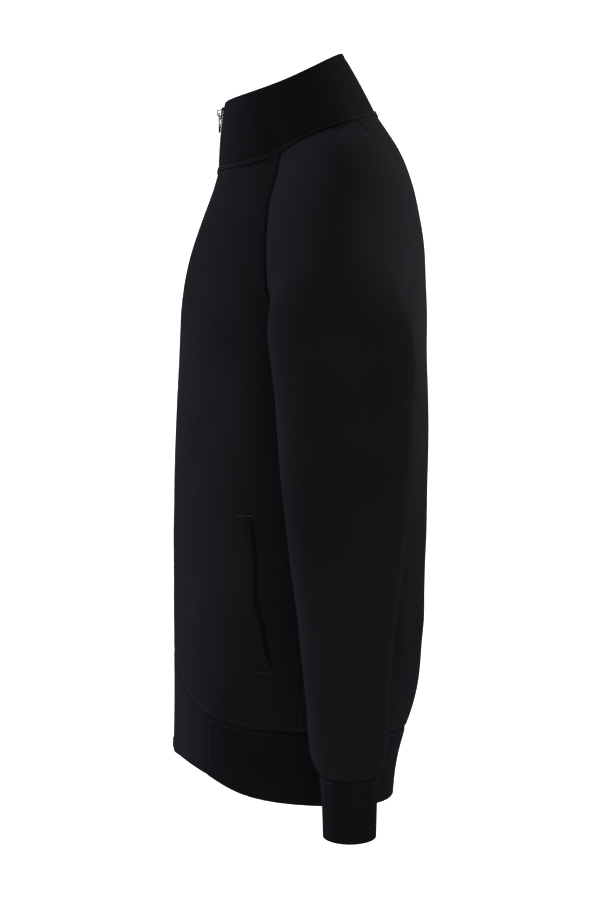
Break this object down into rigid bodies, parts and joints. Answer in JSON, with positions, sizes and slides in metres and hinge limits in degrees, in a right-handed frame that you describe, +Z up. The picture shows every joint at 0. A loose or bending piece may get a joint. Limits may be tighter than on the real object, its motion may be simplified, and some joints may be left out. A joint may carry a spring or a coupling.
{
  "type": "zip-up sweatshirt",
  "caption": "Hollow raglan sweatshirt filled out as worn, with a stand collar, a full-length front zip, slanted side pockets, banded cuffs and a dipped double hem; the zip's pull tab swings",
  "frame": {"origin": "The plane of symmetry, at the height of the shoulders, where the wearer's shoulders hold the garment up", "axes": "+Z up along the body, -Y the front with the zip, +X the wearer's left"},
  "size_m": [0.6196, 0.2628, 0.7706],
  "materials": {
    "fleece_knit": "fleece-backed jersey, brushed dull",
    "double_fleece_knit": "fleece-backed jersey, folded double",
    "plain_jersey": "smooth plain jersey",
    "zip_tape": "woven herringbone tape",
    "zip_metal": "dark nickel plating"
  },
  "bodies": {
    "garment": {"front_left": "fleece_knit", "front_right": "fleece_knit", "back": "fleece_knit", "sleeve_left": "fleece_knit", "sleeve_right": "fleece_knit", "collar": "double_fleece_knit", "neck_band": "plain_jersey", "hem_band": "double_fleece_knit", "hem_end_left": "plain_jersey", "hem_end_right": "plain_jersey", "cuff_left": "double_fleece_knit", "cuff_right": "double_fleece_knit", "pocket_welt_left": "plain_jersey", "pocket_welt_right": "plain_jersey", "chin_guard": "plain_jersey", "zip_tape_left": "zip_tape", "zip_tape_right": "zip_tape", "zip_chain": "zip_metal", "zip_slider": "zip_metal", "zip_box": "zip_metal"},
    "pull": {"pull_tab": "zip_metal"}
  },
  "joints": [
    {"name": "pull_tab_hinge", "type": "hinge", "parent": "garment", "child": "pull", "pos_m": [0, -0.08327, 0.0325], "axis": [-1, 0, 0], "range_deg": [0, 170]}
  ]
}
